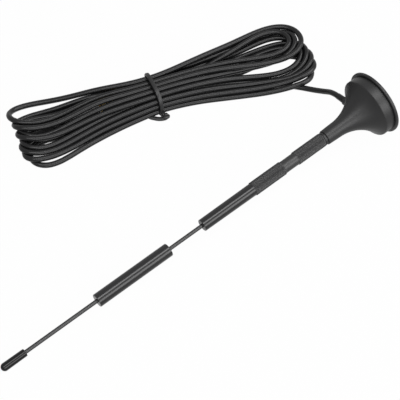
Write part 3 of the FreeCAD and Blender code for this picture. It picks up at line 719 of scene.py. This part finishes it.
def knurl_mesh(foot, top):
    """Diamonds between two heights of the ferrule, as a plain mesh in the row frame."""
    knurl = bpy.context.scene.antenna_knurl
    rows = int((top - foot) * MM / (knurl.pitch / 2))
    step = (top - foot) * MM / rows
    tree, sockets = knurl_tree()
    holder = bpy.data.objects.new("knurl_holder", bpy.data.meshes.new("knurl_holder"))
    bpy.context.scene.collection.objects.link(holder)
    modifier = holder.modifiers.new("Knurl", "NODES")
    modifier.node_group = tree
    values = (knurl.around, rows, knurl.radius, step, knurl.depth, finish_set()["knurl_black"])
    for socket, value in zip(sockets, values):
        modifier[socket] = value
    bpy.context.view_layer.update()
    evaluated = holder.evaluated_get(bpy.context.evaluated_depsgraph_get())
    mesh = bpy.data.meshes.new_from_object(evaluated)
    holder.modifiers.clear()
    bpy.data.objects.remove(holder)
    place = Matrix.Translation((FOOT_FACE + WHIP_WAY * foot) * MM)
    mesh.transform(place @ WHIP_WAY.to_track_quat("Z", "Y").to_matrix().to_4x4())
    if not mesh.polygons:
        raise RuntimeError("the knurl came out empty")
    return mesh


class ANTENNA_OT_ferrule(AntennaOperator, bpy.types.Operator):
    """Turn the ferrule and cover its two grips with knurled diamonds"""

    bl_idname = "antenna.ferrule"
    bl_label = "Knurled ferrule"

    def execute(self, context):
        knurl = context.scene.antenna_knurl
        grip = knurl.radius / MM
        root = grip - knurl.depth / MM
        body = softened([
            (0, STUD_FOOT, 0), (STUD_RADIUS, STUD_FOOT, 0.2), (STUD_RADIUS, FERRULE_FOOT, 0),
            (FERRULE_RIM, FERRULE_FOOT, 0.05),
            (root, FERRULE_FOOT + GRIP_CHAMFER, 0), (root, BAND_FOOT - GRIP_CHAMFER, 0),
            (BAND_RADIUS, BAND_FOOT, 0), (BAND_RADIUS, UPPER_KNURL_FOOT, 0),
            (root, UPPER_KNURL_FOOT + GRIP_CHAMFER, 0), (root, TUBE_FOOT - GRIP_CHAMFER, 0),
            (BAND_RADIUS, TUBE_FOOT, 0.05), (TUBE_BORE, TUBE_FOOT, 0),
            (TUBE_BORE, SPIGOT_TOP, 0), (0, SPIGOT_TOP, 0),
        ])
        meshes = [
            lathe_mesh("ferrule_turned", [body]),
            knurl_mesh(FERRULE_FOOT + GRIP_GAP, BAND_FOOT - GRIP_GAP),
            knurl_mesh(UPPER_KNURL_FOOT + GRIP_GAP, TUBE_FOOT - GRIP_GAP),
        ]
        mesh = joined_mesh("knurled_ferrule", meshes)
        mesh.set_sharp_from_angle(angle=DIAMOND_EDGE)
        add_piece("knurled_ferrule", mesh, "whip", "knurl_black", ["whip_ferrule"])
        return {"FINISHED"}


class ANTENNA_OT_whip(AntennaOperator, bpy.types.Operator):
    """Turn the tubes, their end plugs, the rods and the tip cap"""

    bl_idname = "antenna.whip"
    bl_label = "Whip"

    def execute(self, context):
        tube = softened([
            (TUBE_BORE, TUBE_FOOT, 0), (TUBE_RADIUS, TUBE_FOOT, 0.12),
            (TUBE_TOP_RADIUS, TUBE_TOP, 0.3), (TUBE_BORE, TUBE_TOP, 0.08),
        ])
        add_piece("matching_tube", lathe_mesh("matching_tube", [tube]), "whip", "tube_black", ["lower_tube"])
        phasing = softened([
            (PHASING_BORE, PHASING_FOOT, 0.08), (PHASING_RADIUS, PHASING_FOOT, 0.35),
            (PHASING_RADIUS, PHASING_TOP, 0.35), (PHASING_BORE, PHASING_TOP, 0.08),
        ])
        mesh = lathe_mesh("phasing_sleeve", [phasing])
        add_piece("phasing_sleeve", mesh, "whip", "tube_black", ["phasing_tube"])
        plugs = []
        for radius, foot, top in END_PLUGS:
            plugs.append(softened([
                (ROD_RADIUS, foot, 0.06), (radius, foot, 0.12), (radius, top, 0.12), (ROD_RADIUS, top, 0.06),
            ]))
        add_piece("end_plugs", lathe_mesh("end_plugs", plugs), "whip", "tube_black",
                  ["tube_plug", "phasing_lower_plug", "phasing_upper_plug"])
        rods = []
        for foot, top in RODS:
            rods.append(softened([(0, foot, 0), (ROD_RADIUS, foot, 0), (ROD_RADIUS, top, 0), (0, top, 0)]))
        mesh = lathe_mesh("rods", rods, segments=40)
        add_piece("rods", mesh, "whip", "rod_black", ["lower_rod", "upper_rod"])
        nose = []
        for step in range(NOSE_STEPS + 1):
            turn = math.pi / 2 * step / NOSE_STEPS
            nose.append((CAP_RADIUS * math.cos(turn), NOSE_FOOT + CAP_RADIUS * math.sin(turn), 0))
        cap = softened([
            (ROD_RADIUS, CAP_FOOT, 0), (CAP_RIM, CAP_FOOT, 0.25), *nose,
            (0, UPPER_ROD_TOP, 0), (ROD_RADIUS, UPPER_ROD_TOP, 0),
        ])
        add_piece("tip", lathe_mesh("tip", [cap], segments=64), "whip", "cap_black", ["tip_cap"])
        return {"FINISHED"}


def hank_axes():
    """Directions of u, v and z in the row frame."""
    along = Vector((math.cos(HANK_TURN), math.sin(HANK_TURN), 0))
    across = Vector((-math.sin(HANK_TURN), math.cos(HANK_TURN), 0))
    return np.array([along, across, (0, 0, 1)])


def half_turn(side, way_out, way_back, start, end, loop):
    """Points of one loop in the hank's frame: out of the tie, round the end and back."""
    out_v, back_v, reach, out_z, back_z, end_z = loop
    bow = abs(out_v - back_v) / 2 * LOOP_BOW
    middle = (out_v + back_v) / 2
    points = []
    for share, fall, u in way_out:
        points.append((side * u, start[0] + (out_v - start[0]) * share, start[1] + (out_z - start[1]) * fall))
    for step in range(LOOP_STEPS + 1):
        share = step / LOOP_STEPS
        turn = math.pi * (0.5 - share)
        rise = (end_z - (out_z + back_z) / 2) * math.cos(turn)
        points.append((side * (reach - bow + bow * math.cos(turn)),
                       middle + (out_v - back_v) * LOOP_SWING * math.sin(turn),
                       (1 - share) * out_z + share * back_z + rise))
    for share, fall, u in way_back[::-1]:
        points.append((side * u, end[0] + (back_v - end[0]) * share, end[1] + (back_z - end[1]) * fall))
    return points


def hank_points():
    """Points of the turns in the hank's frame, from the lead to the plug's boot."""
    points = list(LEAD_IN)
    last = len(LEFT_LOOPS) - 1
    for number, right in enumerate(RIGHT_LOOPS):
        place = last - number
        far = FAR_STRANDS[place]
        near = NEAR_STRANDS[place]
        onward = FAR_STRANDS[place - 1] if place else (PLUG_SIDE, PLUG_HEIGHT)
        points += half_turn(-1, LEFT_WAY, LEFT_WAY, far, near, LEFT_LOOPS[place])
        points += half_turn(1, RIGHT_WAY_OUT, RIGHT_WAY_BACK, near, onward, right)
    return points + LEAD_END


def even_line(points, step):
    """Smooth line through the points, with points a step apart."""
    points = np.array(points, float)
    padded = np.vstack([2 * points[0] - points[1], points, 2 * points[-1] - points[-2]])
    line = []
    share = np.linspace(0, 1, LINE_STEPS, endpoint=False)[:, None]
    for before, start, end, after in zip(padded, padded[1:], padded[2:], padded[3:]):
        run = np.linalg.norm(end - start)
        leave = (end - before) / (run + np.linalg.norm(start - before)) * run
        arrive = (after - start) / (run + np.linalg.norm(after - end)) * run
        line.append((2 * share**3 - 3 * share**2 + 1) * start + (share**3 - 2 * share**2 + share) * leave
                    + (3 * share**2 - 2 * share**3) * end + (share**3 - share**2) * arrive)
    line = np.vstack(line + [points[-1:]])
    way = np.concatenate([[0], np.cumsum(np.linalg.norm(np.diff(line, axis=0), axis=1))])
    stops = np.linspace(0, way[-1], int(round(way[-1] / step)) + 1)
    return np.stack([np.interp(stops, way, line[:, axis]) for axis in range(3)], axis=1)


def push_apart(line, diameter, step):
    """Moves strands that are too close away from each other."""
    tangent = np.gradient(line, axis=0)
    tangent /= np.linalg.norm(tangent, axis=1)[:, None]
    square = (line**2).sum(1)
    apart = square[:, None] + square[None] - 2 * line @ line.T
    one, other = np.nonzero(apart < (CONTACT_SEARCH * diameter) ** 2)
    strangers = np.abs(one - other) > CONTACT_OWN
    one, other = one[strangers], other[strangers]
    gap = line[one] - line[other]
    along = (gap * tangent[other]).sum(1)
    across = gap - along[:, None] * tangent[other]
    distance = np.linalg.norm(across, axis=1)
    touching = (np.abs(along) < CONTACT_LENGTH * step) & (distance < diameter)
    one, across, distance = one[touching], across[touching], np.maximum(distance[touching], TINY)
    push = np.zeros_like(line)
    hits = np.zeros(len(line))
    np.add.at(push, one, across / distance[:, None] * (diameter - distance)[:, None] * PUSH_SHARE)
    np.add.at(hits, one, 1)
    return line + push / np.maximum(hits, 1)[:, None]


def even_out(line, rest):
    """Evens out the bends of a line in place, and gives its links their length at rest."""
    for again in range(BEND_ROUNDS):
        bend = np.zeros_like(line)
        bend[1:-1] = (line[:-2] + line[2:]) / 2 - line[1:-1]
        line[2:-2] += BEND_SHARE * (bend[2:-2] - (bend[1:-3] + bend[3:-1]) / 2)
    for again in range(LENGTH_ROUNDS):
        link = np.diff(line, axis=0)
        reach = np.linalg.norm(link, axis=1)
        fix = link * ((reach - rest) / np.maximum(reach, TINY))[:, None] * LENGTH_SHARE
        line[:-1] += fix
        line[1:] -= fix


def clear_tie_and_plug(line):
    """Keeps a line inside the tie and off the plug, in place."""
    tied = np.abs(line[:, 0]) < WAIST_HALF
    line[tied, 1] = np.clip(line[tied, 1], *WAIST_V)
    line[tied, 2] = np.clip(line[tied, 2], *WAIST_Z)
    u = line[:, 0]
    beside = line[:, 1] - PLUG_SIDE
    height = line[:, 2] - PLUG_HEIGHT
    off = np.hypot(beside, height)
    room = np.where(u < NUT_START, NUT_ROOM, BOOT_ROOM)
    inside = (u > PLUG_SPAN[0]) & (u < PLUG_SPAN[1]) & (off < room)
    inside[-PLUG_POINTS:] = False
    grow = 1 + ROOM_SHARE * (room[inside] / np.maximum(off[inside], LEAST_OFF) - 1)
    line[inside, 1] = PLUG_SIDE + beside[inside] * grow
    line[inside, 2] = PLUG_HEIGHT + height[inside] * grow


def settle_strands(line, held, diameter, step, rounds):
    """Lets the strands of a hank push each other apart, keep their length and lie on the floor."""
    home = line.copy()
    rest = np.linalg.norm(np.diff(line, axis=0), axis=1).mean()
    for done in range(rounds):
        line = push_apart(line, diameter, step)
        line = line + HOME_SHARE * (1 - done / rounds) * (home - line)
        even_out(line, rest)
        line[:, 2] -= SAG
        clear_tie_and_plug(line)
        line[:, 2] = np.maximum(line[:, 2], diameter / 2 + FLOOR_GAP)
        line[held] = home[held]
    return line


class ANTENNA_OT_lead(AntennaOperator, bpy.types.Operator):
    """Run the coaxial lead to the floor and wind it into its hank"""

    bl_idname = "antenna.lead"
    bl_label = "Lead"

    def execute(self, context):
        lead = context.scene.antenna_lead
        axes = hank_axes()
        start = (np.array(LEAD_ROUTE) - np.array(HANK_AT)) @ axes.T
        line = even_line([*start[-2:], *hank_points()], STRAND_STEP)
        held = np.r_[0:HELD_POINTS, len(line) - HELD_POINTS:len(line)]
        line = settle_strands(line, held, lead.diameter / MM, STRAND_STEP, lead.rounds)
        turns = line[POINT_SKIP::POINT_SKIP] @ axes + np.array(HANK_AT)
        route = [*LEAD_ROUTE[:-1], *turns, line[-1] @ axes + np.array(HANK_AT)]
        curve = bpy.data.curves.new("coaxial_lead", "CURVE")
        curve.dimensions = "3D"
        curve.bevel_depth = lead.diameter / 2
        curve.bevel_resolution = 4
        curve.resolution_u = 4
        spline = curve.splines.new("NURBS")
        spline.points.add(len(route) - 1)
        for point, place in zip(spline.points, route):
            point.co = (*(np.array(place) * MM), 1)
        spline.order_u = 3
        spline.use_endpoint_u = True
        curve.materials.append(finish_set()["cable_jacket"])
        cable = bpy.data.objects.new("coaxial_lead", curve)
        context.scene.collection.objects.link(cable)
        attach(cable, "base")
        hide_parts("cable_lead", "cable_hank")
        return {"FINISHED"}


def swept_mesh(name, line, width, thick, face_out, sides=10):
    """Flattened round strip along a line of points in mm, its flat side turned by face_out."""
    shape = bmesh.new()
    rings = []
    count = len(line)
    for index, here in enumerate(line):
        tangent = (line[min(index + 1, count - 1)] - line[max(index - 1, 0)]).normalized()
        out = face_out(index)
        out = (out - tangent * out.dot(tangent)).normalized()
        flat = tangent.cross(out)
        ring = []
        for step in range(sides):
            turn = 2 * math.pi * step / sides
            wide = math.copysign(abs(math.cos(turn)) ** STRIP_POWER, math.cos(turn))
            high = math.copysign(abs(math.sin(turn)) ** STRIP_POWER, math.sin(turn))
            ring.append(shape.verts.new((here + flat * wide * width / 2 + out * high * thick / 2) * MM))
        rings.append(ring)
    for ring, following in zip(rings, rings[1:]):
        for step in range(sides):
            after = (step + 1) % sides
            shape.faces.new((ring[step], ring[after], following[after], following[step]))
    shape.faces.new(rings[0][::-1])
    shape.faces.new(rings[-1])
    bmesh.ops.recalc_face_normals(shape, faces=shape.faces)
    mesh = bpy.data.meshes.new(name)
    shape.to_mesh(mesh)
    shape.free()
    smooth_mesh(mesh, angle=40)
    return mesh


class ANTENNA_OT_tie(AntennaOperator, bpy.types.Operator):
    """Wrap the twist tie round the hank's waist and twist its ends"""

    bl_idname = "antenna.tie"
    bl_label = "Twist tie"

    def execute(self, context):
        width = context.scene.antenna_lead.tie_width / MM
        axes = hank_axes()

        def to_row(points):
            return [Vector(np.array(point) @ axes) + HANK_AT for point in points]

        middle = to_row([TIE_MIDDLE])[0]
        around = [(TIE_SHIFT + TIE_WAVE * math.sin(turn), v, z) for turn, (v, z) in enumerate(TIE_AROUND)]
        band = to_row(even_line(around, BAND_STEP))
        meshes = [swept_mesh("tie_band", band, width, BAND_THICK, lambda index: band[index] - middle)]
        for end in TIE_ENDS:
            tail = to_row(even_line(end, TAIL_STEP))
            meshes.append(swept_mesh("tie_tail", tail, width, TAIL_THICK, lambda index: Vector((0, 0, 1))))
        add_piece("twist_tie", joined_mesh("twist_tie", meshes), "base", "tie_black", ["hank_tie"])
        return {"FINISHED"}


class ANTENNA_OT_plug(AntennaOperator, bpy.types.Operator):
    """Finish the screw-on plug at the lead's far end"""

    bl_idname = "antenna.plug"
    bl_label = "Plug"

    def execute(self, context):
        for node in PLUG_NODES:
            piece = add_piece(node + "_finished", merged_copy(node), BODY_OF[node], SLOT_OF[node], [node])
        return {"FINISHED"}


class ANTENNA_OT_inside(AntennaOperator, bpy.types.Operator):
    """Give the solids that stay their finishes: magnet, socket, wires and coils"""

    bl_idname = "antenna.inside"
    bl_label = "Inner parts"

    def execute(self, context):
        finish = finish_set()
        for node, piece in frame["nodes"].items():
            if piece.hide_render:
                continue
            piece.data.materials.clear()
            piece.data.materials.append(finish[SLOT_OF[node]])
        return {"FINISHED"}


def strip_light(name, toward, distance, length, width, radiance):
    """Area light in a direction from the antenna, its long side along the whip."""
    toward = Vector(toward).normalized()
    along = (WHIP_WAY - toward * WHIP_WAY.dot(toward)).normalized()
    light = bpy.data.lights.new(name, "AREA")
    light.shape = "RECTANGLE"
    light.size = length
    light.size_y = width
    light.energy = radiance * math.pi * length * width
    lamp = bpy.data.objects.new(name, light)
    bpy.context.scene.collection.objects.link(lamp)
    facing = Matrix((along, toward.cross(along), toward)).transposed()
    lamp.rotation_euler = facing.to_euler()
    lamp.location = LAMP_AIM + toward * distance


def seen_directly(nodes, links):
    """1 for what the camera sees directly, in a mirror or through glass."""
    path = nodes.new("ShaderNodeLightPath")
    mirrored = nodes.new("ShaderNodeMath")
    mirrored.operation = "MAXIMUM"
    links.new(path.outputs["Is Glossy Ray"], mirrored.inputs[0])
    links.new(path.outputs["Is Transmission Ray"], mirrored.inputs[1])
    either = nodes.new("ShaderNodeMath")
    either.operation = "MAXIMUM"
    links.new(path.outputs["Is Camera Ray"], either.inputs[0])
    links.new(mirrored.outputs[0], either.inputs[1])
    return either.outputs[0]


def studio_world(daylight):
    """Even light from all round, seen directly as plain white."""
    world = bpy.data.worlds.new("studio")
    world.use_nodes = True
    nodes = world.node_tree.nodes
    links = world.node_tree.links
    even = nodes["Background"]
    even.inputs["Strength"].default_value = daylight
    even.inputs["Color"].default_value = WHITE
    plain = nodes.new("ShaderNodeBackground")
    plain.inputs["Color"].default_value = WHITE
    choose = nodes.new("ShaderNodeMixShader")
    links.new(seen_directly(nodes, links), choose.inputs[0])
    links.new(even.outputs[0], choose.inputs[1])
    links.new(plain.outputs[0], choose.inputs[2])
    links.new(choose.outputs[0], nodes["World Output"].inputs["Surface"])
    return world


def paper_material():
    """Matt paper, seen directly as nearly plain white with a trace of shadow."""
    paper = bpy.data.materials.new("white_paper")
    paper.use_nodes = True
    nodes = paper.node_tree.nodes
    links = paper.node_tree.links
    shader = nodes["Principled BSDF"]
    shader.inputs["Base Color"].default_value = PAPER_COLOR
    shader.inputs["Roughness"].default_value = PAPER_ROUGHNESS
    shader.inputs["Specular IOR Level"].default_value = PAPER_SPECULAR
    glow = nodes.new("ShaderNodeEmission")
    glow.inputs["Color"].default_value = WHITE
    share = nodes.new("ShaderNodeMath")
    share.operation = "MULTIPLY"
    share.inputs[1].default_value = PAPER_GLOW
    links.new(seen_directly(nodes, links), share.inputs[0])
    choose = nodes.new("ShaderNodeMixShader")
    links.new(share.outputs[0], choose.inputs[0])
    links.new(shader.outputs[0], choose.inputs[1])
    links.new(glow.outputs[0], choose.inputs[2])
    links.new(choose.outputs[0], nodes["Material Output"].inputs["Surface"])
    return paper


def studio_camera(stage):
    """Camera that looks at the stage's target from its direction and distance."""
    back = Vector((math.sin(stage.azimuth) * math.cos(stage.elevation),
                   -math.cos(stage.azimuth) * math.cos(stage.elevation),
                   math.sin(stage.elevation)))
    lens = bpy.data.cameras.new("camera")
    lens.sensor_width = SENSOR_WIDTH
    lens.lens = stage.lens
    lens.clip_start, lens.clip_end = CLIP_RANGE
    camera = bpy.data.objects.new("camera", lens)
    camera.location = Vector(stage.target) + back * stage.distance
    camera.rotation_euler = (-back).to_track_quat("-Z", "Y").to_euler()
    return camera


class ANTENNA_OT_stage(AntennaOperator, bpy.types.Operator):
    """Set the pale floor, the studio light and the camera"""

    bl_idname = "antenna.stage"
    bl_label = "Stage"

    def execute(self, context):
        scene = context.scene
        stage = scene.antenna_stage
        scene.view_settings.view_transform = "Standard"
        scene.world = studio_world(stage.daylight)

        corners = [(x * FLOOR_HALF, y * FLOOR_HALF, 0) for x, y in ((-1, -1), (1, -1), (1, 1), (-1, 1))]
        floor_mesh = bpy.data.meshes.new("floor")
        floor_mesh.from_pydata(corners, [], [(0, 1, 2, 3)])
        floor_mesh.materials.append(paper_material())
        floor = bpy.data.objects.new("floor", floor_mesh)
        scene.collection.objects.link(floor)

        strip_light("top_strip", *TOP_STRIP, stage.strip)
        strip_light("front_softbox", *FRONT_SOFTBOX, stage.softbox)

        camera = studio_camera(stage)
        scene.collection.objects.link(camera)
        scene.camera = camera
        return {"FINISHED"}


OPERATORS = (
    ANTENNA_OT_stage,
    ANTENNA_OT_foot,
    ANTENNA_OT_ferrule,
    ANTENNA_OT_whip,
    ANTENNA_OT_lead,
    ANTENNA_OT_tie,
    ANTENNA_OT_plug,
    ANTENNA_OT_inside,
)


class ANTENNA_PT_panel(bpy.types.Panel):
    """Sidebar panel with the antenna's sizes, finishes and building steps"""

    bl_idname = "ANTENNA_PT_panel"
    bl_label = "Antenna"
    bl_space_type = "VIEW_3D"
    bl_region_type = "UI"
    bl_category = "Antenna"

    def draw(self, context):
        for group in GROUPS:
            settings = getattr(context.scene, group)
            box = self.layout.box()
            for name in settings.bl_rna.properties.keys():
                if name not in ("rna_type", "name"):
                    box.prop(settings, name)
        for operator in OPERATORS:
            self.layout.operator(operator.bl_idname)


GROUPS = {
    "antenna_finish": AntennaFinish,
    "antenna_knurl": AntennaKnurl,
    "antenna_lead": AntennaLead,
    "antenna_stage": AntennaStage,
}


def register():
    for name, group in GROUPS.items():
        bpy.utils.register_class(group)
        setattr(bpy.types.Scene, name, PointerProperty(type=group))
    for operator in OPERATORS:
        bpy.utils.register_class(operator)
    bpy.utils.register_class(ANTENNA_PT_panel)


def unregister():
    bpy.utils.unregister_class(ANTENNA_PT_panel)
    for operator in reversed(OPERATORS):
        bpy.utils.unregister_class(operator)
    for name, group in reversed(GROUPS.items()):
        delattr(bpy.types.Scene, name)
        bpy.utils.unregister_class(group)


def main():
    """Registers the add-on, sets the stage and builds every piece."""
    register()
    bpy.ops.antenna.stage()
    bpy.ops.antenna.foot()
    bpy.ops.antenna.ferrule()
    bpy.ops.antenna.whip()
    bpy.ops.antenna.lead()
    bpy.ops.antenna.tie()
    bpy.ops.antenna.plug()
    bpy.ops.antenna.inside()


if __name__ == "__main__":
    main()
